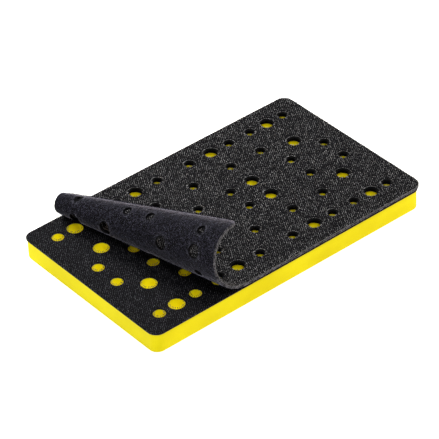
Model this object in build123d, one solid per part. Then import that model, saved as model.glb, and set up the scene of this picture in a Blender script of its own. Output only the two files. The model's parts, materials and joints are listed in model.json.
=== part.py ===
from build123d import *
import os
from math import atan2, cos, degrees, hypot, radians, sin

# Perforated sanding block: a foam body with a micro-hook face, and a pad saver sheet pressed onto
# it by hook and loop. One short end of the sheet is peeled up and rolled back in a cone.
# Millimetres. Origin: centre of the block's underside. +X along its length, +Z up, out of the
# hook face.

# Driving dimensions
LENGTH = 133.0
WIDTH = 81.0
CORNER_R = 4.2
FOAM_INSET = 0.4        # the cut foam stands back under its hook face
SAVER_SHIFT = 0.4       # how far off centre the pad saver was pressed on, along +X

FOAM_T = 8.5
ADHESIVE_T = 0.1
BASE_T = 0.2            # carrier cloth under each crop of micro-hooks
PILE_T = 0.4            # height of the micro-hooks
VELOUR_T = 1.15         # loop pile under the pad saver
FILM_T = 0.1            # backing film between the velour and the upper hooks
GRIP_GAP = 0.1          # clearance where the loops sit on the block's hooks

LARGE_R = 3.25          # dust holes
SMALL_R = 2.45
COL_1, COL_2, COL_3, COL_4, COL_5, COL_6 = 8.1, 19.0, 28.4, 39.3, 48.3, 56.5
ROW_1, ROW_2, ROW_3, ROW_4 = 5.7, 14.4, 18.4, 30.7
COL_3_INNER = 34.3      # column of the staggered small holes on row 3

# The peel line crosses the long edges at these places, and its generators meet at the cone's
# apex beyond the far edge.
PEEL_X_FAR = -45.4
PEEL_X_NEAR = -22.0
APEX_BEYOND = 30.5
STRIP_ANGLE = 2.6       # fan angle of one strip in the flat sheet, degrees
FOLD_ANGLES = [22.0] * 3 + [26.0] * 3 + [24.0] * 3     # turn at each strip line in the roll
STRIPS = len(FOLD_ANGLES)

SEAM = {"velour": 0.05, "film": 0.05, "hook_base": 0.12, "hook_pile": 0.2}
REACH = 300.0           # longer than the part in any direction
MIN_CHIP = 0.02         # volume under which an offcut beside a hole is dropped, mm3

# Heights of the layers
BASE_Z = FOAM_T + ADHESIVE_T
BLOCK_PILE_Z = BASE_Z + BASE_T
SAVER_Z = BLOCK_PILE_Z + PILE_T + GRIP_GAP
FILM_Z = SAVER_Z + VELOUR_T
SAVER_BASE_Z = FILM_Z + FILM_T
SAVER_PILE_Z = SAVER_BASE_Z + BASE_T
HINGE_Z = FILM_Z + FILM_T / 2

SAVER_LAYERS = {
    "velour": (SAVER_Z, VELOUR_T),
    "film": (FILM_Z, FILM_T),
    "hook_base": (SAVER_BASE_Z, BASE_T),
    "hook_pile": (SAVER_PILE_Z, PILE_T),
}

# Peel line and apex of the cone, in the flat sheet
PEEL_RUN = hypot(PEEL_X_NEAR - PEEL_X_FAR, WIDTH)
PEEL_DX = (PEEL_X_NEAR - PEEL_X_FAR) / PEEL_RUN
PEEL_DY = -WIDTH / PEEL_RUN
APEX_X = PEEL_X_FAR - PEEL_DX * APEX_BEYOND
APEX_Y = WIDTH / 2 - PEEL_DY * APEX_BEYOND
PEEL_HEADING = degrees(atan2(PEEL_DX, -PEEL_DY))


def mirrored(x, y):
    """The places of a hole repeated about both centre lines."""
    xs = (x, -x) if x else (0.0,)
    return [(sx, sy) for sx in xs for sy in (y, -y)]


def dust_holes():
    """All 54 dust holes as one flat sketch."""
    large = [(COL_2, ROW_4), (COL_5, ROW_4), (COL_5, ROW_2), (COL_2, ROW_1)]
    small = [(c, ROW_4) for c in (COL_1, COL_3, COL_4, COL_6)]
    small += [(c, ROW_1) for c in (COL_1, COL_4, COL_6)]
    small += [(c, ROW_3) for c in (0.0, COL_2, COL_3_INNER)]
    sketch = Sketch()
    for x, y in large:
        sketch += [Pos(px, py) * Circle(LARGE_R) for px, py in mirrored(x, y)]
    for x, y in small:
        sketch += [Pos(px, py) * Circle(SMALL_R) for px, py in mirrored(x, y)]
    return sketch


OUTLINE = RectangleRounded(LENGTH, WIDTH, CORNER_R)
FOAM_OUTLINE = RectangleRounded(LENGTH - 2 * FOAM_INSET, WIDTH - 2 * FOAM_INSET, CORNER_R - FOAM_INSET)
HOLES = dust_holes()
SAVER_OUTLINE = Pos(SAVER_SHIFT, 0) * OUTLINE
SAVER_HOLES = Pos(SAVER_SHIFT, 0) * HOLES


def layer(sketch, holes, z, thickness):
    """A flat perforated layer with its lower face at z."""
    return Pos(0, 0, z) * extrude(sketch - holes, amount=thickness)


def heading(fan):
    """Heading of the generator at a fan angle from the peel line, in radians."""
    return radians(PEEL_HEADING - fan)


def on_generator(fan, distance, aside=0.0):
    """A point of the flat sheet on a generator, moved aside towards the free end."""
    h = heading(fan)
    x = APEX_X + distance * sin(h) - aside * cos(h)
    y = APEX_Y - distance * cos(h) - aside * sin(h)
    return x, y


def strip_line(index):
    """Fan angle of the line on which strip index turns. The first strip is 1."""
    return (index - 0.5) * STRIP_ANGLE


def flat_region(seam):
    """The part of the sheet that lies on the block."""
    fan = strip_line(1)
    start = on_generator(fan, 0.0, -seam)
    end = on_generator(fan, REACH, -seam)
    corners = [start, end, (REACH, -REACH), (REACH, APEX_Y)]
    return SAVER_OUTLINE & Polygon(*corners, align=None)


def strip_region(index, seam):
    """One strip of the rolled end, between two generators."""
    near = strip_line(index)
    is_last = index == STRIPS
    far = PEEL_HEADING + 60.0 if is_last else strip_line(index + 1)
    first = seam / sin(radians(STRIP_ANGLE / 2))
    corners = [
        on_generator(near, first, seam),
        on_generator(near, REACH, seam),
        on_generator(far, REACH, 0.0 if is_last else -seam),
    ]
    if is_last:
        corners.append(on_generator(far, first))
    return SAVER_OUTLINE & Polygon(*corners, align=None)


def strip_axis(index):
    """The line that strip index turns on in the flat sheet. A positive turn unrolls it."""
    x, y = on_generator(strip_line(index), APEX_BEYOND + WIDTH / 2)
    h = heading(strip_line(index))
    return Axis((x, y, HINGE_Z), (sin(h), -cos(h), 0))


def rolled(shape, index):
    """Takes a shape of the flat sheet to its place in the roll, fixed to strip index."""
    for line in range(index, 0, -1):
        shape = shape.rotate(strip_axis(line), -FOLD_ANGLES[line - 1])
    return shape


def without_chips(shape):
    """Drops the specks that a hole leaves where it just crosses a strip line."""
    return Compound([s for s in shape.solids() if s.volume > MIN_CHIP])


def block_nodes():
    """The foam block with its hook face."""
    return {
        "foam_body": layer(FOAM_OUTLINE, HOLES, 0.0, FOAM_T),
        "adhesive_film": layer(OUTLINE, HOLES, FOAM_T, ADHESIVE_T),
        "hook_face_base": layer(OUTLINE, HOLES, BASE_Z, BASE_T),
        "hook_face_pile": layer(OUTLINE, HOLES, BLOCK_PILE_Z, PILE_T),
    }


def saver_nodes():
    """The part of the pad saver that lies on the block, layer by layer."""
    return {
        f"saver_{name}": layer(flat_region(SEAM[name]), SAVER_HOLES, z, thickness)
        for name, (z, thickness) in SAVER_LAYERS.items()
    }


def flap_nodes(index):
    """One strip of the rolled end, layer by layer."""
    nodes = {}
    for name, (z, thickness) in SAVER_LAYERS.items():
        flat = layer(strip_region(index, SEAM[name]), SAVER_HOLES, z, thickness)
        nodes[f"flap_{index}_{name}"] = without_chips(rolled(flat, index))
    return nodes


def all_nodes():
    """Every named piece of the part."""
    nodes = {**block_nodes(), **saver_nodes()}
    for index in range(1, STRIPS + 1):
        nodes.update(flap_nodes(index))
    return nodes


os.makedirs("parts", exist_ok=True)
for node, shape in all_nodes().items():
    export_step(shape, f"parts/{node}.step")
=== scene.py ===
import json
from math import cos, pi, radians, sin

import bmesh
import bpy
import numpy as np
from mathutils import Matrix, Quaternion, Vector
from mathutils.geometry import delaunay_2d_cdt, intersect_line_line


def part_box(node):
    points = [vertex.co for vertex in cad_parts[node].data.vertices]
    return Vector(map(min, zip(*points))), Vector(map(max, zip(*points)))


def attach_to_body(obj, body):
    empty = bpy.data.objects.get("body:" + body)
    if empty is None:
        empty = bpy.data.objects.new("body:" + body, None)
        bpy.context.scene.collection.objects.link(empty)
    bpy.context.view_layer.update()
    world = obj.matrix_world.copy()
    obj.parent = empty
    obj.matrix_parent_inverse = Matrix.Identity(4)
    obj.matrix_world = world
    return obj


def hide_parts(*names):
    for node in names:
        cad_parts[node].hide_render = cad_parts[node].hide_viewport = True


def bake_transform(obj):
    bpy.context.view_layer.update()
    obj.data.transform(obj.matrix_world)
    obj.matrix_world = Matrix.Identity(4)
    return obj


# Perforated sanding block of yellow foam with a micro-hook face, and the pad saver sheet that is
# pressed onto it, one end peeled up and rolled back. Everything is in metres, in the frame of the
# CAD model. The sheet is worked out flat, and then its peeled end is rolled onto a cone whose
# straight lines are the hinge lines of the CAD strips.

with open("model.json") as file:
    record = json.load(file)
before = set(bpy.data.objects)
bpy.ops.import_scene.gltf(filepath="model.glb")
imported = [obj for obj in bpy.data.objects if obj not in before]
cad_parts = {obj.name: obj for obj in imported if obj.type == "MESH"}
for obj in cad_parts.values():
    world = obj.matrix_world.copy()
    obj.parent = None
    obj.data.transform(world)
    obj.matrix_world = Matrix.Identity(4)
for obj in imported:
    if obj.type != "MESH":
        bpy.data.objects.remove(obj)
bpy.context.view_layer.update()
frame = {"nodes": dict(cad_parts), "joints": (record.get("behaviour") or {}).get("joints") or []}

MM = 0.001

# Plan of the block and the sheet
CORNER_R = 4.2 * MM
LARGE_R = 3.25 * MM
SMALL_R = 2.45 * MM
COLUMNS = [8.1 * MM, 19.0 * MM, 28.4 * MM, 39.3 * MM, 48.3 * MM, 56.5 * MM]
ROWS = [5.7 * MM, 14.4 * MM, 18.4 * MM, 30.7 * MM]
INNER_COLUMN = 34.3 * MM        # of the staggered small holes on the third row

# Hooks: their field stands on a slightly uneven grid, and rows of them along the cut edges
SAVER_HOOK_SPACING = 0.88 * MM
BLOCK_HOOK_SPACING = 0.82 * MM
OUTLINE_HOOK_SPACING = 0.62 * MM
HOLE_HOOK_SPACING = 0.85 * MM
SAVER_BARE_RING = 0.75 * MM     # width of the ring round each dust hole that the field leaves bare
BLOCK_BARE_RING = 0.0 * MM
HOOK_MARGIN = 0.3 * MM          # how far the field keeps from all cut edges
HOOK_JITTER = 0.08              # how far off the grid a hook may stand, in spacings
HOOK_WANDER = 0.1 * MM          # how uneven the rows and the bare rings are
OUTLINE_HOOK_INSET = 0.06 * MM
BLOCK_RIM_INSET = 0.05 * MM     # of the rows round the dust holes
SAVER_RIM_INSET = 0.1 * MM      # behind the edge of the cloth there, which stands back itself
RIM_LEAN = 1.9                  # how far the hooks at a dust hole's rim lean into it, per height
LEAN_SPREAD = 0.2               # and any hook any way
HOOK_WIDTHS = (0.7, 1.2)        # least and most, as a share of the template's
HOOK_HEIGHTS = (0.8, 1.0)       # and of the crop's height
HOOK_BEND = 0.25                # how much more a leaning hook's tip leans
HOOK_SPLIT_X = 16.0 * MM        # where the sheet's large field of hooks is parted in two pieces

# Velour
FIBRES_PER_MM2 = 6.0
RIM_FIBRES_PER_MM = 16.0
FACE_FIBRES = (0.35 * MM, 0.85 * MM)    # shortest and longest on the open face
FACE_ROOTS = 0.14 * MM          # how deep in the pile they start
EDGE_ROOTS = 0.05 * MM          # and those on cut edges
OUTLINE_FIBRES = 0.55 * MM      # longest at the outline
HOLE_FIBRES = 1.3 * MM          # and in the dust holes
SHORTEST_SHARE = 0.3            # the shortest there, as a share of the longest
FACE_FIBRE_R = 0.028 * MM
EDGE_FIBRE_R = 0.03 * MM
FACE_FIBRE_SPREAD = 0.8         # how unevenly they lie over, per length straight out
EDGE_FIBRE_SPREAD = 0.7
EDGE_FIBRE_SHIFT = 0.15 * MM    # how unevenly the ones on cut edges are spaced
FIBRE_MIDDLE = (0.55, 0.10)     # where its middle and its tip are, onward and aside, in lengths
FIBRE_TIP = (0.85, 0.55)
FIBRE_TAPER = 0.8
NAP = 0.12 * MM                 # height of the open face's fine unevenness
NAP_LUMP = 0.16 * MM            # height of its lumps
NAP_LUMP_SIZE = 1.1 * MM
NAP_FADE = 0.5                  # over how many strips it rises from nothing
CUT_ROUGHNESS = 0.06 * MM       # sideways unevenness of the cut edges
PILE_GROWTH = 0.7 * MM          # how far the pile splays into the dust holes
TIGHT_GROWTH = 1.7 * MM         # and where the roll is tightest
TIGHT_REACH = 45.0 * MM         # how near the apex that is
VELOUR_EDGE_STEP = 0.5 * MM     # size of its triangles at cut edges
VELOUR_STEP = 0.55 * MM         # where it is napped
VELOUR_FLAT_STEP = 1.8 * MM     # and where it lies on the block

# Backing film and upper carrier cloth
CARRIER_CUT = 0.35 * MM         # how far both stand back from the dust holes
FILM_PROUD = 0.06 * MM          # how far the film stands out at the outline
CARRIER_BACK = 0.04 * MM        # and the cloth stands back there
BENDS_PER_STRIP = 4             # lines along which they bend
LAMINATE_EDGE_STEP = 0.8 * MM   # size of their triangles at cut edges
LAMINATE_LINE_STEP = 2.0 * MM   # and along those lines
LINE_GAP = 0.15 * MM            # no other point of theirs is nearer to the lines
COARSE_STEP = 2.4 * MM          # size of the triangles of flat stretches, and in the block's cloth

# Foam
FOAM_EDGE = 0.35 * MM           # rounding of its outer edges
BORE_EDGE = FOAM_EDGE * 0.6     # and of its holes' edges
FOAM_WAVE = 0.05 * MM           # unevenness of its cut sides
FOAM_LUMP_SIZE = 3.0 * MM
FOAM_STEP = 0.9 * MM            # distance between the points of its outline
BORE_STEP = FOAM_STEP * 0.7     # and of its holes
FOAM_FACE_STEP = 2.2 * MM       # and on its flat faces
FOAM_ROWS = 8                   # rows of faces up its sides
BORE_ROWS = 5                   # and up its holes
WELD = 0.002 * MM               # points nearer than that are one

# Camera and floor
CAMERA_TARGET = Vector((2.96 * MM, 6.32 * MM, 0.0))
CAMERA_DISTANCE = 1.0154
CAMERA_AZIMUTH = radians(-38.46)
CAMERA_ELEVATION = radians(37.62)
CAMERA_ROLL = radians(-2.56)
CAMERA_LENS = 214.65
FLOOR_HALF = 4.0
FLOOR_GAP = 0.02 * MM           # so that the foam's underside isn't in the floor's plane

# From the frame: half the plan, where the sheet was pressed on, the heights, and the cone
FOAM_LOW, FOAM_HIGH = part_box("foam_body")
HALF = np.array(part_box("hook_face_base")[1].xy)
FOAM_INSET = HALF[0] - FOAM_HIGH.x
SHIFT = np.array([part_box("saver_velour")[1].x - HALF[0], 0.0])
HINGES = [j for j in frame["joints"] if j["type"] == "hinge"]
STRIPS = len(HINGES)
HINGE_Z = HINGES[0]["pos_m"][2]

# The fan of generators, in metres from the apex
FAN_NEAR = 0.018                # where their mesh lines start
FAN_FAR = 0.128                 # where those end, past the near edge
FAN_MIDDLE = 0.07               # half way across the sheet


def cone():
    """The cone's apex, its generator where the sheet leaves the block, and one strip's fan angle."""
    ends = []
    for hinge in HINGES[:2]:
        place = Vector(hinge["pos_m"])
        ends += [place, place + Vector(hinge["axis"])]
    apex = intersect_line_line(*ends)[0]
    first = Vector(HINGES[0]["axis"])
    step = first.angle(Vector(HINGES[1]["axis"]))
    return apex, Quaternion((0, 0, 1), step / 2) @ first, step


APEX, LEAVES, FAN_STEP = cone()
PATTERN_APEX = np.array(APEX.xy) - SHIFT    # the apex as the sheet's own pattern has it


def rolls():
    """Axis and angle of the turn that every strip adds to the roll, between its two generators."""
    half_step = Quaternion((0, 0, 1), -FAN_STEP / 2)
    turns = []
    for hinge in HINGES:
        fold = Quaternion(LEAVES, -radians(hinge["range_deg"][1]))
        turns.append((half_step @ fold @ half_step).to_axis_angle())
    return turns


ROLLS = rolls()


def heights(node):
    """Lowest and highest point of a flat layer."""
    low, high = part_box(node)
    return low.z, high.z


VELOUR_Z = heights("saver_velour")
FILM_Z = heights("saver_film")
CARRIER_Z = heights("saver_hook_base")
SAVER_HOOK_Z = heights("saver_hook_pile")
BLOCK_CARRIER_Z = heights("hook_face_base")
BLOCK_HOOK_Z = heights("hook_face_pile")


# The flat pattern

def dust_holes():
    """Centre and radius of every dust hole."""
    c1, c2, c3, c4, c5, c6 = COLUMNS
    r1, r2, r3, r4 = ROWS
    large = [(c2, r4), (c5, r4), (c5, r2), (c2, r1)]
    small = [(c1, r4), (c3, r4), (c4, r4), (c6, r4), (c1, r1), (c4, r1), (c6, r1)]
    small += [(0.0, r3), (c2, r3), (INNER_COLUMN, r3)]
    holes = []
    for places, radius in ((large, LARGE_R), (small, SMALL_R)):
        for x, y in places:
            for sx in (x, -x) if x else (x,):
                holes += [(sx, y, radius), (sx, -y, radius)]
    return np.array(holes)


HOLES = dust_holes()


def edge_depth(xy):
    """How far inside the outline a point is, negative outside it."""
    q = np.abs(xy) - (HALF - CORNER_R)
    outside = np.hypot(*np.maximum(q, 0).T)
    return CORNER_R - outside - np.minimum(q.max(1), 0)


def hole_gap(xy, grow=0.0):
    """How far a point is from the nearest dust hole's rim, which may be grown inwards, negative
    in the hole."""
    gaps = np.hypot(xy[:, None, 0] - HOLES[:, 0], xy[:, None, 1] - HOLES[:, 1]) - HOLES[:, 2]
    return (gaps + grow).min(1)


def fan_of(xy):
    """Fan angle of a point from the line where the sheet leaves the block, in strips."""
    v = xy - PATTERN_APEX
    across = LEAVES.x * v[:, 1] - LEAVES.y * v[:, 0]
    along = v @ np.array(LEAVES.xy)
    return -np.arctan2(across, along) / FAN_STEP


def pile_growths():
    """How far the velour's pile closes in on each dust hole."""
    reach = np.hypot(*(HOLES[:, :2] - PATTERN_APEX).T)
    tight = (fan_of(HOLES[:, :2]) > STRIPS / 2) & (reach < TIGHT_REACH)
    return np.where(tight, TIGHT_GROWTH, PILE_GROWTH)


CORNERS = (HALF - CORNER_R) * [(1, 1), (-1, 1), (-1, -1), (1, -1)]


def outline_ring(grow, step):
    """Points along the outline, grown outwards, with their outward normals."""
    radius = CORNER_R + grow
    turns = max(3, int(radius * pi / 2 / step))
    points, normals = [], []
    for quarter, corner in enumerate(CORNERS):
        angles = (quarter + np.arange(turns + 1) / turns) * pi / 2
        normal = np.stack([np.cos(angles), np.sin(angles)], 1)
        arc = corner + radius * normal
        onward = CORNERS[(quarter + 1) % 4] + radius * normal[-1]
        count = int(np.hypot(*(onward - arc[-1])) / step)
        shares = np.arange(1, count)[:, None] / count
        points += [arc, arc[-1] + shares * (onward - arc[-1])]
        normals += [normal, np.repeat(normal[-1:], count - 1, 0)]
    return np.concatenate(points), np.concatenate(normals)


def hole_ring(hole, grow, step):
    """Points around one dust hole, with their normals into the hole."""
    radius = hole[2] + grow
    count = int(2 * pi * radius / step)
    angles = np.arange(count) * 2 * pi / count
    normal = -np.stack([np.cos(angles), np.sin(angles)], 1)
    return hole[:2] - radius * normal, normal


def scattered(spacing, margin, seed, jitter=0.22):
    """Points of a jittered triangular grid over the perforated sheet, clear of its edges."""
    rng = np.random.default_rng(seed)
    pitch = spacing * 3 ** 0.5 / 2
    columns = int(2 * HALF[0] / spacing) + 2
    rows = int(2 * HALF[1] / pitch) + 2
    i, j = np.meshgrid(np.arange(columns), np.arange(rows), indexing="ij")
    xy = np.stack([i * spacing + (j % 2) * spacing / 2, j * pitch], -1).reshape(-1, 2) - HALF
    xy = xy + rng.uniform(-jitter, jitter, xy.shape) * spacing
    return xy[(edge_depth(xy) > margin) & (hole_gap(xy) > margin)]


def fan_line(fan, step):
    """Points along one generator of the fan, across the whole sheet."""
    direction = Quaternion((0, 0, 1), -fan * FAN_STEP) @ LEAVES
    reach = np.arange(FAN_NEAR, FAN_FAR, step)
    return PATTERN_APEX + reach[:, None] * np.array(direction.xy)


def triangulated(rings, lines, points):
    """Triangles over flat points, with edges along closed rings and open lines of them."""
    places, edges = [], []
    for run in rings + lines:
        first = sum(len(p) for p in places)
        places.append(run)
        ends = range(first, first + len(run))
        edges += zip(ends, ends[1:])
        if len(places) <= len(rings):
            edges.append((ends[-1], first))
    places.append(points)
    flat = [Vector(p) for p in np.concatenate(places) / MM]
    found = delaunay_2d_cdt(flat, edges, [], 0, 1e-5)
    return np.array([tuple(p) for p in found[0]]) * MM, np.array(found[2])


def flat_mesh(grow, hole_grow, edge_step, points, lines=(), line_step=None):
    """Points and triangles of the perforated sheet, grown at its outline and into its holes.

    Every hole may have its own growth. The lines are fan angles along which triangles have edges."""
    growths = np.broadcast_to(hole_grow, len(HOLES))
    rings = [outline_ring(grow, edge_step)[0]]
    rings += [hole_ring(hole, -growth, edge_step)[0] for hole, growth in zip(HOLES, growths)]
    xy, triangles = triangulated(rings, [fan_line(fan, line_step) for fan in lines], points)
    middles = xy[triangles].mean(1)
    kept = (edge_depth(middles) > -grow) & (hole_gap(middles, hole_grow) > 0)
    return xy, triangles[kept]


def away_from_lines(xy, lines, gap):
    """Leaves out points that lie close to a fan line."""
    fans = fan_of(xy)
    reach = np.hypot(*(xy - PATTERN_APEX).T) * FAN_STEP
    near = np.zeros(len(xy), bool)
    for fan in lines:
        near |= np.abs(fans - fan) * reach < gap
    return xy[~near]


# From flat to rolled

def turned(v, axis, angle):
    """Each vector turned by its own angle about one axis."""
    axis = np.array(axis)
    c, s = np.cos(angle)[:, None], np.sin(angle)[:, None]
    return v * c + np.cross(axis, v) * s + axis * (v @ axis)[:, None] * (1 - c)


def rolled(xy, z, fan=None):
    """Takes points of the flat pattern to their places at rest, where its peeled end is a cone.

    A small thing planted on the sheet keeps its shape if all its points get one fan angle."""
    fan = np.clip(fan_of(xy) if fan is None else fan, 0, STRIPS)
    v = np.zeros((len(xy), 3))
    v[:, :2] = xy - PATTERN_APEX
    v = turned(v, (0, 0, 1), fan * FAN_STEP)
    v[:, 2] += z - HINGE_Z
    for strip in range(STRIPS - 1, -1, -1):
        axis, angle = ROLLS[strip]
        v = turned(v, axis, np.clip(fan - strip, 0, 1) * angle)
    return np.array([APEX.x, APEX.y, HINGE_Z]) + v


def parts_of(fan):
    """Which part of the sheet each fan angle is in: 0 on the block, 1 to STRIPS in the roll's
    bending strips, and STRIPS + 1 at the free end."""
    return np.clip(np.ceil(fan), 0, STRIPS + 1).astype(int)


# Meshes

def make_object(name, points, faces, materials, smooth_to=55):
    """A mesh object. Faces may come as several groups, one for each material."""
    groups = faces if isinstance(faces, list) else [faces]
    mesh = bpy.data.meshes.new(name)
    mesh.from_pydata(points.tolist(), [], [f for g in groups for f in g.tolist()])
    for material in materials:
        mesh.materials.append(material)
    index = np.repeat(np.arange(len(groups)), [len(g) for g in groups])
    mesh.polygons.foreach_set("material_index", index.astype(np.int32))
    mesh.polygons.foreach_set("use_smooth", np.ones(len(index), bool))
    mesh.set_sharp_from_angle(angle=radians(smooth_to))
    mesh.validate()
    piece = bpy.data.objects.new(name, mesh)
    bpy.context.scene.collection.objects.link(piece)
    return piece


def compact(points, faces, *extras):
    """Drops points that no face uses."""
    used, where = np.unique(faces, return_inverse=True)
    return points[used], where.reshape(faces.shape), *[e[used] for e in extras]


def rim_edges(triangles):
    """The edges that only one triangle has, in its direction."""
    edges = np.concatenate([triangles[:, [0, 1]], triangles[:, [1, 2]], triangles[:, [2, 0]]])
    order = np.sort(edges, 1)
    _, first, uses = np.unique(order, axis=0, return_index=True, return_counts=True)
    return edges[first[uses == 1]]


def slab(xy, triangles, low, high, rows=1, rough=0.0, seed=0):
    """A closed layer between two heights. Its walls can have rows, roughened sideways.

    The wall faces come last. Returns flat points, faces and how many of them lie flat."""
    count = len(xy)
    low = np.broadcast_to(low, count)
    high = np.broadcast_to(high, count)
    rim = rim_edges(triangles)
    rng = np.random.default_rng(seed)
    places = [xy, xy]
    levels = [low, high]
    walls = []
    fans = fan_of(xy)
    on_seam = np.abs(fans - np.round(fans)) < 1e-3
    below = np.arange(count)
    for row in range(1, rows + 1):
        if row == rows:
            above = np.arange(count) + count
        else:
            above = np.arange(count) + sum(len(p) for p in places)
            shift = rng.normal(0, rough, (count, 2)) * ~on_seam[:, None]
            places.append(xy + shift)
            levels.append(low + (high - low) * row / rows)
        a, b = rim.T
        walls.append(np.stack([below[a], below[b], above[b]], 1))
        walls.append(np.stack([below[a], above[b], above[a]], 1))
        below = above
    faces = np.concatenate([triangles[:, ::-1], triangles + count, *walls])
    flat = np.concatenate([np.concatenate(places), np.concatenate(levels)[:, None]], 1)
    return *compact(flat, faces), 2 * len(triangles)


# A hook's radii in millimetres, and the levels of its head as shares of its height
STEM_R = 0.09
NECK_R = 0.065
HEAD_R = 0.18
HEAD_RIM = 0.70
HEAD_UNDER = 0.52
HEAD_SIDES = 5


def hook_template():
    """One mushroom hook of height 1, its widths in millimetres: a three-sided stem and a head."""
    points = []
    for radius, level in ((STEM_R, 0.0), (NECK_R, HEAD_RIM)):
        points += [(radius * cos(a), radius * sin(a), level) for a in (0, 2 * pi / 3, 4 * pi / 3)]
    faces = []
    for i in range(3):
        j = (i + 1) % 3
        faces += [(i, j, j + 3), (i, j + 3, i + 3)]
    rim = len(points)
    top = rim + HEAD_SIDES
    angles = [2 * pi * i / HEAD_SIDES for i in range(HEAD_SIDES)]
    points += [(HEAD_R * cos(a), HEAD_R * sin(a), HEAD_RIM) for a in angles]
    points += [(0, 0, 1.0), (0, 0, HEAD_UNDER)]
    for i in range(HEAD_SIDES):
        a, b = rim + i, rim + (i + 1) % HEAD_SIDES
        faces += [(a, b, top), (b, a, top + 1)]
    return np.array(points), np.array(faces)


def hook_sites(spacing, bare, rim, seed):
    """Where hooks stand and which way they lean: over the whole face, unevenly along its outline,
    up to a bare ring round every dust hole, and a row that leans into the hole from its rim."""
    rng = np.random.default_rng(seed)
    field = scattered(spacing, HOOK_MARGIN, seed, HOOK_JITTER)
    field = field[hole_gap(field) > bare + rng.uniform(-HOOK_WANDER, HOOK_WANDER, len(field))]
    outline, normals = outline_ring(0.0, OUTLINE_HOOK_SPACING)
    outline = outline - normals * OUTLINE_HOOK_INSET + rng.normal(0, HOOK_WANDER, outline.shape)
    rings = [hole_ring(hole, rim, HOLE_HOOK_SPACING) for hole in HOLES]
    rims = np.concatenate([r[0] for r in rings])
    inward = np.concatenate([r[1] for r in rings])
    sites = np.concatenate([field, outline, rims + rng.normal(0, HOOK_WANDER, rims.shape)])
    leans = rng.normal(0, LEAN_SPREAD, sites.shape)
    leans[-len(rims):] += RIM_LEAN * inward
    return sites, leans


def hooks(sites, lean, base, height, seed):
    """Mushroom hooks planted on flat sites. Returns flat points, faces and each point's fan."""
    rng = np.random.default_rng(seed)
    shape, shape_faces = hook_template()
    count, size = len(sites), len(shape)
    spin = rng.uniform(0, 2 * pi, count)
    width = rng.uniform(*HOOK_WIDTHS, count) * MM
    tall = rng.uniform(*HOOK_HEIGHTS, count) * height
    c, s = np.cos(spin)[:, None], np.sin(spin)[:, None]
    x = (shape[:, 0] * c - shape[:, 1] * s) * width[:, None]
    y = (shape[:, 0] * s + shape[:, 1] * c) * width[:, None]
    z = shape[:, 2] * tall[:, None]
    tip = HOOK_BEND * z ** 2 / height
    x = x + sites[:, :1] + lean[:, :1] * (z + tip)
    y = y + sites[:, 1:] + lean[:, 1:] * (z + tip)
    flat = np.stack([x, y, base + z], -1).reshape(-1, 3)
    faces = (shape_faces + size * np.arange(count)[:, None, None]).reshape(-1, 3)
    return flat, faces, np.repeat(fan_of(sites), size)


def fibres(roots, ways, lengths, radius, seed):
    """Tapering bent fibres. Returns flat points, faces and each point's fan angle."""
    rng = np.random.default_rng(seed)
    count = len(roots)
    ways = ways / np.linalg.norm(ways, axis=1)[:, None]
    side = np.cross(ways, rng.normal(size=(count, 3)))
    side /= np.linalg.norm(side, axis=1)[:, None]
    other = np.cross(ways, side)
    lengths = lengths[:, None]
    middle = roots + ways * lengths * FIBRE_MIDDLE[0] + side * lengths * FIBRE_MIDDLE[1]
    tip = roots + ways * lengths * FIBRE_TIP[0] + side * lengths * FIBRE_TIP[1]
    points = np.empty((count, 7, 3))
    for i in range(3):
        turn = 2 * pi * i / 3
        round_it = (side * cos(turn) + other * sin(turn)) * radius
        points[:, i] = roots + round_it
        points[:, i + 3] = middle + FIBRE_TAPER * round_it
    points[:, 6] = tip
    shape = []
    for i in range(3):
        j = (i + 1) % 3
        shape += [(i, j, j + 3), (i, j + 3, i + 3), (i + 3, j + 3, 6)]
    faces = (np.array(shape) + 7 * np.arange(count)[:, None, None]).reshape(-1, 3)
    return points.reshape(-1, 3), faces, np.repeat(fan_of(roots[:, :2]), 7)


NOISE_CELLS = 256


def value_noise(xy, size, seed):
    """Smooth random heights from 0 to 1 over lumps of one size, which repeat only far away."""
    rng = np.random.default_rng(seed)
    lattice = rng.random((NOISE_CELLS, NOISE_CELLS))
    cell = (xy + 0.1) / size
    low = np.floor(cell).astype(int)
    share = cell - low
    share = share * share * (3 - 2 * share)
    i, j = low.T % NOISE_CELLS
    k, m = (i + 1) % NOISE_CELLS, (j + 1) % NOISE_CELLS
    bottom = lattice[i, j] * (1 - share[:, 0]) + lattice[k, j] * share[:, 0]
    top = lattice[i, m] * (1 - share[:, 0]) + lattice[k, m] * share[:, 0]
    return bottom * (1 - share[:, 1]) + top * share[:, 1]


# Materials

def shader(name, roughness, **sockets):
    """A Principled material, with the values that are the same all over it."""
    material = bpy.data.materials.new(name)
    material.use_nodes = True
    principled = material.node_tree.nodes["Principled BSDF"]
    principled.inputs["Roughness"].default_value = roughness
    for socket, value in sockets.items():
        principled.inputs[socket.replace("_", " ")].default_value = value
    return material, material.node_tree, principled


def texture(tree, kind, scale, **values):
    """A procedural texture in the object's own coordinates, in lumps per metre."""
    node = tree.nodes.new(kind)
    place = tree.nodes.new("ShaderNodeTexCoord")
    tree.links.new(place.outputs["Object"], node.inputs["Vector"])
    node.inputs["Scale"].default_value = scale
    for socket, value in values.items():
        node.inputs[socket].default_value = value
    return node


def colours(tree, factor, *stops):
    """A colour ramp over a factor. Each stop is a place and a colour."""
    ramp = tree.nodes.new("ShaderNodeValToRGB")
    tree.links.new(factor, ramp.inputs["Fac"])
    elements = ramp.color_ramp.elements
    while len(elements) < len(stops):
        elements.new(0.5)
    for element, (place, colour) in zip(elements, stops):
        element.position = place
        element.color = (*colour, 1)
    return ramp.outputs["Color"]


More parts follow.
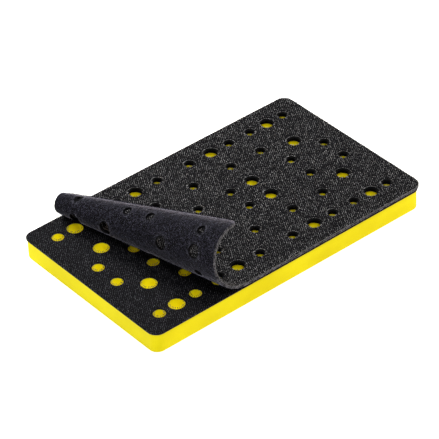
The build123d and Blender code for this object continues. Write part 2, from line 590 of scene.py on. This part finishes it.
def mixed(tree, mode, factor, a, b):
    """Two colours mixed by a fixed share."""
    node = tree.nodes.new("ShaderNodeMix")
    node.data_type = "RGBA"
    node.blend_type = mode
    node.inputs["Factor"].default_value = factor
    tree.links.new(a, node.inputs["A"])
    tree.links.new(b, node.inputs["B"])
    return node.outputs["Result"]


def bumped(tree, principled, height, depth, strength=1.0):
    """Gives the surface fine relief of a real depth."""
    bump = tree.nodes.new("ShaderNodeBump")
    bump.inputs["Distance"].default_value = depth
    bump.inputs["Strength"].default_value = strength
    tree.links.new(height, bump.inputs["Height"])
    tree.links.new(bump.outputs["Normal"], principled.inputs["Normal"])


def foam_material(name, deep, pale):
    """Dense yellow foam: fine cells with painted shade towards their edges, as in pores, and slightly
    uneven colour.
    """
    material, tree, principled = shader(name, 0.72, Specular_IOR_Level=0.1)
    patches = texture(tree, "ShaderNodeTexNoise", 45, Detail=3)
    cells = texture(tree, "ShaderNodeTexVoronoi", 3200)
    yellow = colours(tree, patches.outputs["Fac"], (0.35, deep), (0.65, pale))
    # painted shade: the yellow darkens towards each small cell's edge, for shade in the pores
    pore_shade = colours(tree, cells.outputs["Distance"], (0.0, (1, 1, 1)), (0.75, (0.86, 0.84, 0.7)))
    colour = mixed(tree, "MULTIPLY", 0.55, yellow, pore_shade)
    tree.links.new(colour, principled.inputs["Base Color"])
    bumped(tree, principled, cells.outputs["Distance"], 0.04 * MM, 0.5)
    return material


def adhesive_material():
    """Thin hot-melt film between foam and cloth."""
    material, tree, principled = shader("adhesive", 0.45)
    streaks = texture(tree, "ShaderNodeTexNoise", 900, Detail=2)
    dark, light = (0.22, 0.18, 0.03), (0.38, 0.31, 0.05)
    colour = colours(tree, streaks.outputs["Fac"], (0.3, dark), (0.7, light))
    tree.links.new(colour, principled.inputs["Base Color"])
    bumped(tree, principled, streaks.outputs["Fac"], 0.02 * MM)
    return material


def carrier_material():
    """Black knitted carrier cloth under the hooks."""
    material, tree, principled = shader("carrier_cloth", 0.92, Specular_IOR_Level=0.08)
    knit = texture(tree, "ShaderNodeTexVoronoi", 2600)
    dust = texture(tree, "ShaderNodeTexNoise", 260, Detail=4)
    thread, gap = (0.005, 0.005, 0.006), (0.001, 0.001, 0.002)
    threads = colours(tree, knit.outputs["Distance"], (0.0, thread), (0.6, gap))
    clouds = colours(tree, dust.outputs["Fac"], (0.35, (0.7, 0.7, 0.75)), (0.7, (1, 1, 1)))
    colour = mixed(tree, "MULTIPLY", 1.0, threads, clouds)
    tree.links.new(colour, principled.inputs["Base Color"])
    bumped(tree, principled, knit.outputs["Distance"], 0.05 * MM)
    return material


def hook_material(name, dark, light, spread, roughness, specular):
    """Stiff moulded dark hooks, each of a random tone; the lighter ones are painted glints, standing in
    for highlights on their heads.

    The spread is where a random share from 0 to 1 starts to lighten them, and where it ends."""
    material, tree, principled = shader(name, roughness, Specular_IOR_Level=specular)
    glint_cells = texture(tree, "ShaderNodeTexVoronoi", 2800)
    clouds = texture(tree, "ShaderNodeTexNoise", 160, Detail=4)
    # painted glints: a random share of the hooks is made far lighter than their dark plastic, partly
    # random tone, mostly highlight
    colour = colours(tree, glint_cells.outputs["Color"], (spread[0], dark), (spread[1], light))
    shade = colours(tree, clouds.outputs["Fac"], (0.3, (0.7, 0.7, 0.72)), (0.7, (1, 1, 1)))
    colour = mixed(tree, "MULTIPLY", 1.0, colour, shade)
    tree.links.new(colour, principled.inputs["Base Color"])
    return material


def film_material():
    """Thin grey backing film, seen at its cut edge."""
    material, tree, principled = shader("backing_film", 0.4)
    haze = texture(tree, "ShaderNodeTexNoise", 700, Detail=2)
    dark, light = (0.09, 0.088, 0.088), (0.16, 0.155, 0.152)
    colour = colours(tree, haze.outputs["Fac"], (0.3, dark), (0.7, light))
    tree.links.new(colour, principled.inputs["Base Color"])
    bumped(tree, principled, haze.outputs["Fac"], 0.01 * MM)
    return material


def velour_material(name, dark, light, sheen):
    """Blue-black brushed loops with a soft sheen."""
    material, tree, principled = shader(
        name, 0.95, Sheen_Weight=sheen, Sheen_Roughness=0.3, Sheen_Tint=(0.7, 0.7, 0.85, 1),
        Specular_IOR_Level=0.04,
    )
    nap = texture(tree, "ShaderNodeTexNoise", 1500, Detail=3)
    tufts = texture(tree, "ShaderNodeTexNoise", 420, Detail=3)
    fine = colours(tree, nap.outputs["Fac"], (0.44, dark), (0.6, light))
    clumps = colours(tree, tufts.outputs["Fac"], (0.35, (0.45, 0.45, 0.47)), (0.65, (1, 1, 1)))
    colour = mixed(tree, "MULTIPLY", 1.0, fine, clumps)
    tree.links.new(colour, principled.inputs["Base Color"])
    bumped(tree, principled, nap.outputs["Fac"], 0.1 * MM)
    return material


FOAM = foam_material("yellow_foam", (0.66, 0.57, 0.001), (0.73, 0.645, 0.003))
# painted light: a much brighter copy of the foam for the walls of the dust holes, for light reaching into
# them
LIT_BORE_FOAM = foam_material("yellow_foam_in_holes", (0.9, 0.8, 0.002), (0.97, 0.87, 0.004))
ADHESIVE = adhesive_material()
CARRIER = carrier_material()
# the hooks' light colours are painted glints, above their real dark tone
BLOCK_HOOKS = hook_material(
    "block_hooks", (0.001, 0.001, 0.002), (0.13, 0.13, 0.14),
    spread=(0.4, 0.9), roughness=0.4, specular=0.06,
)
SAVER_HOOKS = hook_material(
    "saver_hooks", (0.001, 0.001, 0.001), (0.46, 0.455, 0.45),
    spread=(0.4, 0.85), roughness=0.35, specular=0.08,
)
FILM = film_material()
VELOUR = velour_material("velour", (0.001, 0.001, 0.001), (0.021, 0.02, 0.03), sheen=1.0)
# painted light: a lighter copy of the velour for its cut edges and outline fibres, for fibres catching
# the light
LIT_EDGE_VELOUR = velour_material("velour_cut_edge", (0.02, 0.02, 0.023), (0.14, 0.137, 0.147), sheen=0.9)
# painted light: a lighter copy of the velour for the pile that splays into the holes of the roll
LIT_SPLAYED_VELOUR = velour_material("velour_splayed", (0.004, 0.004, 0.005), (0.048, 0.047, 0.06), sheen=1.0)
# painted shade: a near-black copy of the velour, with almost no sheen, for the pile in and near the dust
# holes
SHADED_HOLE_VELOUR = velour_material("velour_in_holes", (0.001, 0.001, 0.001), (0.005, 0.005, 0.006), sheen=0.05)


# The block

def wall(ring, rows):
    """Points and faces of a wall: a closed ring of places and normals, at rows of inset and z."""
    points, normals = ring
    count = len(points)
    layers = [np.column_stack([points - normals * inset, np.full(count, z)]) for inset, z in rows]
    i = np.arange(count)
    j = (i + 1) % count
    faces = []
    for row in range(len(rows) - 1):
        low, high = row * count, (row + 1) * count
        faces.append(np.stack([low + i, low + j, high + j, high + i], 1))
    return np.concatenate(layers), np.concatenate(faces)


def foam_rows(edge, steps):
    """Rows of inset and z up a foam wall whose top and bottom edges are slightly rounded."""
    low, high = FOAM_LOW.z, FOAM_HIGH.z
    turn = [(1 - sin(a), 1 - cos(a)) for a in (0, pi / 8, pi / 4, 3 * pi / 8, pi / 2)]
    bottom = [(edge * inset, low + edge * rise) for inset, rise in turn]
    middle = [(0.0, z) for z in np.linspace(low + edge, high - edge, steps + 1)[1:-1]]
    return bottom + middle + [(inset, low + high - z) for inset, z in reversed(bottom)]


def foam_skin():
    """Points and faces of the foam's walls and of its two flat faces, and whether they are bore walls,
    which get the painted-light copy of the foam.
    """
    outer = outline_ring(-FOAM_INSET, FOAM_STEP)
    bores = [hole_ring(hole, 0.0, BORE_STEP) for hole in HOLES]
    skin = [(*wall(outer, foam_rows(FOAM_EDGE, FOAM_ROWS)), False)]
    skin += [(*wall(bore, foam_rows(BORE_EDGE, BORE_ROWS)), True) for bore in bores]
    rings = [outer[0] - outer[1] * FOAM_EDGE]
    rings += [bore[0] - bore[1] * BORE_EDGE for bore in bores]
    xy, triangles = triangulated(rings, [], scattered(FOAM_FACE_STEP, 1.2 * MM, 3))
    middles = xy[triangles].mean(1)
    inside = (edge_depth(middles) > FOAM_INSET + FOAM_EDGE) & (hole_gap(middles) > BORE_EDGE)
    top = triangles[inside]
    for z, faces in ((FOAM_LOW.z, top[:, ::-1]), (FOAM_HIGH.z, top)):
        skin.append((np.column_stack([xy, np.full(len(xy), z)]), faces, False))
    return skin


def foam_pad():
    """The foam body: bored through, with soft cut edges and slightly wavy cut sides."""
    points, faces, lit_bore_faces = [], [], []
    for own_points, own_faces, is_lit_bore in foam_skin():
        first = sum(len(p) for p in points)
        points.append(own_points)
        faces += (own_faces + first).tolist()
        lit_bore_faces += [is_lit_bore] * len(own_faces)
    mesh = bpy.data.meshes.new("foam_pad")
    mesh.from_pydata(np.concatenate(points).tolist(), [], faces)
    mesh.materials.append(FOAM)
    mesh.materials.append(LIT_BORE_FOAM)
    # the bore walls take the brighter foam copy: painted light
    mesh.polygons.foreach_set("material_index", np.array(lit_bore_faces, np.int32))
    weld(mesh)
    wave_sides(mesh)
    mesh.polygons.foreach_set("use_smooth", np.ones(len(mesh.polygons), bool))
    piece = bpy.data.objects.new("foam_pad", mesh)
    bpy.context.scene.collection.objects.link(piece)
    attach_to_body(piece, "block")
    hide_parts("foam_body")


def weld(mesh):
    """Joins points that lie on each other, and drops loose ones."""
    shape = bmesh.new()
    shape.from_mesh(mesh)
    bmesh.ops.remove_doubles(shape, verts=shape.verts, dist=WELD)
    loose = [v for v in shape.verts if not v.link_faces]
    bmesh.ops.delete(shape, geom=loose, context="VERTS")
    shape.to_mesh(mesh)
    shape.free()


def wave_sides(mesh):
    """Small unevenness of the cut foam walls."""
    co = np.empty(len(mesh.vertices) * 3)
    mesh.vertices.foreach_get("co", co)
    co = co.reshape(-1, 3)
    lump = value_noise(co[:, :2] + co[:, 2:] * 0.7, FOAM_LUMP_SIZE, 5) - 0.5
    inside = (co[:, 2] > FOAM_EDGE) & (co[:, 2] < FOAM_HIGH.z - FOAM_EDGE)
    scale = 1 + (lump * FOAM_WAVE * inside)[:, None] / np.linalg.norm(co[:, :2], axis=1)[:, None]
    co[:, :2] *= scale
    mesh.vertices.foreach_set("co", co.ravel())
    mesh.update()


def adhesive_film():
    """The film that bonds the hook face to the foam: the CAD node, with its own material."""
    materials = frame["nodes"]["adhesive_film"].data.materials
    materials.clear()
    materials.append(ADHESIVE)


def block_face():
    """The block's carrier cloth and its crop of hooks, in two halves."""
    xy, triangles = flat_mesh(0.0, 0.0, FOAM_STEP, scattered(COARSE_STEP, 1.0 * MM, 11))
    flat, faces, _ = slab(xy, triangles, *BLOCK_CARRIER_Z)
    carrier = make_object("block_carrier", flat, faces, [CARRIER])
    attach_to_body(carrier, "block")
    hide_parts("hook_face_base")
    sites, leans = hook_sites(BLOCK_HOOK_SPACING, BLOCK_BARE_RING, BLOCK_RIM_INSET, 12)
    height = BLOCK_HOOK_Z[1] - BLOCK_HOOK_Z[0]
    for half, chosen in (("left", sites[:, 0] < 0), ("right", sites[:, 0] >= 0)):
        flat, faces, _ = hooks(sites[chosen], leans[chosen], BLOCK_HOOK_Z[0], height, 13)
        field = make_object(f"block_hooks_{half}", flat, faces, [BLOCK_HOOKS])
        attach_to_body(field, "block")
        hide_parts("hook_face_pile")


def sheet_area(xy, triangles):
    """Flat area of those triangles."""
    a, b, c = (xy[triangles[:, i]] for i in range(3))
    ab, ac = b - a, c - a
    return float(np.abs(ab[:, 0] * ac[:, 1] - ab[:, 1] * ac[:, 0]).sum() / 2)


# The pad saver

BODIES = ["pad_saver"] + [f"flap_{i}" for i in range(1, STRIPS + 1)]


def part_name(part, layer):
    """Name of one part's layer."""
    if part == 0:
        return f"sheet_{layer}"
    return f"free_end_{layer}" if part > STRIPS else f"roll_{part}_{layer}"


def stood_for(part, layers):
    """The CAD nodes that one part's layers stand for."""
    owner = "saver" if part == 0 else f"flap_{min(part, STRIPS)}"
    return [f"{owner}_{layer}" for layer in layers]


def attach(piece, part, fan):
    """Makes a part ride on its body; a bending strip's piece only has its transform baked into its
    points.
    """
    if part in (0, STRIPS + 1):
        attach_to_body(piece, BODIES[min(part, STRIPS)])
        return
    for edge in (part - 1, part):
        middle = Quaternion((0, 0, 1), -edge * FAN_STEP) @ LEAVES * FAN_MIDDLE
        rolled(PATTERN_APEX + np.array([middle.xy]), HINGE_Z)[0]
    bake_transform(piece)
    share = np.clip(fan - (part - 1), 0, 1)
    share = share * share * (3 - 2 * share)


GROWTHS = pile_growths()
VELOURS = [VELOUR, LIT_EDGE_VELOUR, SHADED_HOLE_VELOUR, LIT_SPLAYED_VELOUR]


def velour_net():
    """Flat points and triangles of the velour, fine where its open face shows."""
    lines = list(range(STRIPS + 1))
    fine = scattered(VELOUR_STEP, 0.22 * MM, 21, 0.3)
    fine = fine[(fan_of(fine) > 0) & (hole_gap(fine) > 2 * CARRIER_CUT)]
    coarse = scattered(VELOUR_FLAT_STEP, 0.7 * MM, 22)
    coarse = coarse[fan_of(coarse) < -0.2]
    rings = [hole_ring(hole, CARRIER_CUT, VELOUR_EDGE_STEP)[0] for hole in HOLES]
    tight = HOLES[GROWTHS > PILE_GROWTH]
    rings += [hole_ring(hole, -PILE_GROWTH, VELOUR_EDGE_STEP)[0] for hole in tight]
    inner = [
        away_from_lines(fine, lines, 0.2 * MM), coarse,
        away_from_lines(np.concatenate(rings), lines, 0.12 * MM),
    ]
    return flat_mesh(0.0, GROWTHS, VELOUR_EDGE_STEP, np.concatenate(inner), lines, VELOUR_STEP)


def velour_nap(xy):
    """Height of the open face's unevenness, which fades out where the sheet lies on the block."""
    rng = np.random.default_rng(23)
    nap = NAP * rng.random(len(xy)) + NAP_LUMP * value_noise(xy, NAP_LUMP_SIZE, 24)
    return nap * np.clip(fan_of(xy) / NAP_FADE, 0, 1)


def velour_layer():
    """The loop pile: a napped slab, with fibres on its open face, its cut edges and its rims.

    Returns the pieces, and the flat area of the one that lies on the block."""
    xy, triangles = velour_net()
    low = VELOUR_Z[0] + velour_nap(xy)
    parts = parts_of(fan_of(xy[triangles].mean(1)))
    made = []
    for part in range(STRIPS + 2):
        own = triangles[parts == part]
        flat, faces, flat_count = slab(xy, own, low, VELOUR_Z[1], 3, CUT_ROUGHNESS, 25)
        points = rolled(flat[:, :2], flat[:, 2])
        own_fan = fan_of(flat[:, :2])
        groups = velour_groups(flat, faces, flat_count, part > 0)
        fuzz = [part_fibres(part, kind) for kind in FIBRES]
        if part == 0:
            area = sheet_area(xy, own)
            made.append(fringe(fuzz[1:]))
            fuzz = []
        for group, (fibre_points, fibre_faces, fibre_fan) in enumerate(fuzz):
            groups[group] = np.concatenate([groups[group], fibre_faces + len(points)])
            points = np.concatenate([points, fibre_points])
            own_fan = np.concatenate([own_fan, fibre_fan])
        piece = make_object(part_name(part, "velour"), points, groups, VELOURS)
        attach(piece, part, own_fan)
        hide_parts(*stood_for(part, ["velour"]))
        made.append(piece)
    return made, area


def velour_groups(flat, faces, flat_count, outside_shows):
    """Faces of one part by material: napped faces, cut edges (lighter: painted light), the pile in
    holes (darkened: painted shade), and, where the outside shows, the ring of pile that splays
    into a hole (lighter: painted light)."""
    gap = hole_gap(flat[faces][:, :, :2].mean(1))
    order = np.arange(len(faces))
    is_wall = order >= flat_count
    shows = outside_shows & (order < flat_count // 2)
    # painted light: the splayed ring round a hole gets the lighter velour copy
    ring = shows & (gap < 0) & (gap > -PILE_GROWTH)
    # painted shade: faces in and near the holes get the darkened velour
    deep = (gap < np.where(shows, 0, CARRIER_CUT)) & ~ring
    # painted light: the cut-edge walls get the lighter velour copy
    lit_cut = is_wall & ~deep
    return [faces[~(lit_cut | deep | ring)], faces[lit_cut], faces[deep], faces[ring]]


def fringe(fuzz):
    """Loose fibres along the edges of the flat velour: lighter at the outline, as painted light, and
    darkened in the holes, as painted shade.
    """
    (outline, outline_faces, _), (rims, rim_faces, _) = fuzz
    groups = [outline_faces, rim_faces + len(outline)]
    points = np.concatenate([outline, rims])
    piece = make_object("sheet_velour_fringe", points, groups, [LIT_EDGE_VELOUR, SHADED_HOLE_VELOUR])
    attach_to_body(piece, "pad_saver")
    return piece


def face_fibres():
    """Fibres on the open face of the peeled end, in flat points."""
    rng = np.random.default_rng(31)
    spacing = (2 / 3 ** 0.5 / FIBRES_PER_MM2) ** 0.5 * MM
    roots = scattered(spacing, 0.1 * MM, 32, 0.45)
    roots = roots[fan_of(roots) > 0.15]
    count = len(roots)
    ways = np.column_stack([rng.normal(0, FACE_FIBRE_SPREAD, (count, 2)), -np.ones(count)])
    lengths = rng.uniform(*FACE_FIBRES, count)
    level = np.full(count, VELOUR_Z[0] + FACE_ROOTS)
    return fibres(np.column_stack([roots, level]), ways, lengths, FACE_FIBRE_R, 33)


def edge_fibres(rings, longest, seed):
    """Fibres along cut edges of the velour, in flat points."""
    low, high = VELOUR_Z
    rng = np.random.default_rng(seed)
    places = np.concatenate([r[0] for r in rings])
    normals = np.concatenate([r[1] for r in rings])
    count = len(places)
    along = normals[:, ::-1] * (-1, 1) * rng.normal(0, EDGE_FIBRE_SHIFT, (count, 1))
    places = places + along - normals * EDGE_ROOTS
    level = rng.uniform(low + EDGE_ROOTS, high - EDGE_ROOTS, count)
    sideways = rng.normal(0, EDGE_FIBRE_SPREAD, (count, 2))
    ways = np.column_stack([normals + sideways, rng.normal(-0.2, 0.6, count)])
    lengths = rng.uniform(SHORTEST_SHARE, 1.0, count) * longest
    return fibres(np.column_stack([places, level]), ways, lengths, EDGE_FIBRE_R, seed)


RIM_STEP = MM / RIM_FIBRES_PER_MM
RIMS = [hole_ring(hole, -growth, RIM_STEP) for hole, growth in zip(HOLES, GROWTHS)]
FIBRES = [
    face_fibres(),
    edge_fibres([outline_ring(0.0, RIM_STEP)], OUTLINE_FIBRES, 34),
    edge_fibres(RIMS, HOLE_FIBRES, 35),
]


def part_fibres(part, kind):
    """The fibres of one part, at rest."""
    flat, faces, fan = kind
    chosen = faces[parts_of(fan[faces[:, 0]]) == part]
    return compact(rolled(flat[:, :2], flat[:, 2], fan), chosen, fan)


def laminate_layer():
    """Backing film and carrier cloth, bonded: the film shows as a pale line along the outline."""
    lines = list(np.arange(STRIPS * BENDS_PER_STRIP + 1) / BENDS_PER_STRIP)
    points = away_from_lines(scattered(COARSE_STEP, 0.9 * MM, 41), lines, LINE_GAP)
    points = points[(fan_of(points) < 0) | (fan_of(points) > STRIPS)]
    layers = []
    for grow, (low, high) in ((FILM_PROUD, FILM_Z), (-CARRIER_BACK, CARRIER_Z)):
        xy, triangles = flat_mesh(
            grow, -CARRIER_CUT, LAMINATE_EDGE_STEP, points, lines, LAMINATE_LINE_STEP,
        )
        layers.append((xy, triangles, parts_of(fan_of(xy[triangles].mean(1))), low, high))
    made = []
    for part in range(STRIPS + 2):
        flats, groups = [], []
        for xy, triangles, parts, low, high in layers:
            flat, faces, _ = slab(xy, triangles[parts == part], low, high)
            groups.append(faces + sum(len(f) for f in flats))
            flats.append(flat)
        flat = np.concatenate(flats)
        points = rolled(flat[:, :2], flat[:, 2])
        piece = make_object(part_name(part, "laminate"), points, groups, [FILM, CARRIER])
        attach(piece, part, fan_of(flat[:, :2]))
        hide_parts(*stood_for(part, ["film", "hook_base"]))
        made.append(piece)
    return made


def hook_layer():
    """The pad saver's crop of hooks."""
    inset = CARRIER_CUT + SAVER_RIM_INSET
    sites, leans = hook_sites(SAVER_HOOK_SPACING, SAVER_BARE_RING, inset, 51)
    height = SAVER_HOOK_Z[1] - SAVER_HOOK_Z[0]
    flat, faces, fan = hooks(sites, leans, SAVER_HOOK_Z[0], height, 52)
    points = rolled(flat[:, :2], flat[:, 2], fan)
    parts = parts_of(fan[faces[:, 0]])
    far = flat[faces[:, 0], 0] > HOOK_SPLIT_X
    made = []
    for part in range(STRIPS + 2):
        own_parts = {part_name(part, "hooks"): parts == part}
        if part == 0:
            own_parts = {
                "sheet_hooks_near_roll": (parts == 0) & ~far,
                "sheet_hooks_far": (parts == 0) & far,
            }
        for name, chosen in own_parts.items():
            own, own_faces, own_fan = compact(points, faces[chosen], fan)
            piece = make_object(name, own, own_faces, [SAVER_HOOKS])
            attach(piece, part, own_fan)
            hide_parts(*stood_for(part, ["hook_pile"]))
            made.append(piece)
    return made


def pad_saver():
    """The whole sheet: its velour, laminate and hook layers."""
    velour, area = velour_layer()
    others = laminate_layer() + hook_layer()


# Camera, floor and light

def camera():
    """The camera at the viewing angle of the picture, a long lens from half above."""
    back = Vector((
        sin(CAMERA_AZIMUTH) * cos(CAMERA_ELEVATION),
        -cos(CAMERA_AZIMUTH) * cos(CAMERA_ELEVATION),
        sin(CAMERA_ELEVATION),
    ))
    data = bpy.data.cameras.new("camera")
    data.lens = CAMERA_LENS
    data.clip_start = 0.01
    data.clip_end = 20.0
    view = bpy.data.objects.new("camera", data)
    bpy.context.scene.collection.objects.link(view)
    view.location = CAMERA_TARGET + back * CAMERA_DISTANCE
    view.rotation_mode = "QUATERNION"
    level = (-back).to_track_quat("-Z", "Y")
    view.rotation_quaternion = level @ Quaternion((0, 0, 1), CAMERA_ROLL)
    bpy.context.scene.camera = view


def floor():
    """A wide plain floor, just under the foam."""
    corners = FLOOR_HALF * np.array([(-1, -1), (1, -1), (1, 1), (-1, 1)])
    points = np.column_stack([corners, np.full(4, -FLOOR_GAP)])
    material, tree, principled = shader("floor", 0.9, Specular_IOR_Level=0.1, Emission_Strength=0.5)
    principled.inputs["Emission Color"].default_value = (1, 1, 1, 1)
    mottle = texture(tree, "ShaderNodeTexNoise", 3, Detail=2)
    colour = colours(tree, mottle.outputs["Fac"], (0.3, (0.93, 0.93, 0.93)), (0.7, (0.95, 0.95, 0.95)))
    tree.links.new(colour, principled.inputs["Base Color"])
    make_object("floor", points, np.array([[0, 1, 2, 3]]), [material])


def soft_light(name, place, size, power, colour=(1, 1, 1)):
    """A large soft lamp that points at the object."""
    data = bpy.data.lights.new(name, "AREA")
    data.shape = "DISK"
    data.size = size
    data.energy = power
    data.color = colour
    lamp = bpy.data.objects.new(name, data)
    bpy.context.scene.collection.objects.link(lamp)
    lamp.location = place
    lamp.rotation_mode = "QUATERNION"
    lamp.rotation_quaternion = (-Vector(place)).to_track_quat("-Z", "Y")


def light():
    """White surroundings and four soft lamps: the key from above the near side, a strong one
    behind, a warm one at the right end, and a weak one at the left end."""
    scene = bpy.context.scene
    scene.view_settings.view_transform = "Standard"
    world = bpy.data.worlds.new("studio")
    scene.world = world
    world.use_nodes = True
    background = world.node_tree.nodes["Background"]
    background.inputs["Color"].default_value = (1, 1, 1, 1)
    background.inputs["Strength"].default_value = 0.3
    soft_light("key", (-0.2, -0.5, 1.1), 0.4, 9.0)
    soft_light("back", (0.1, 0.95, 0.6), 0.4, 21.0)
    soft_light("right", (1.0, -0.45, 0.2), 0.4, 6.0, (1.0, 0.72, 0.5))
    soft_light("left", (-1.0, 0.3, 0.3), 0.4, 1.5)


camera()
floor()
light()
foam_pad()
adhesive_film()
block_face()
pad_saver()
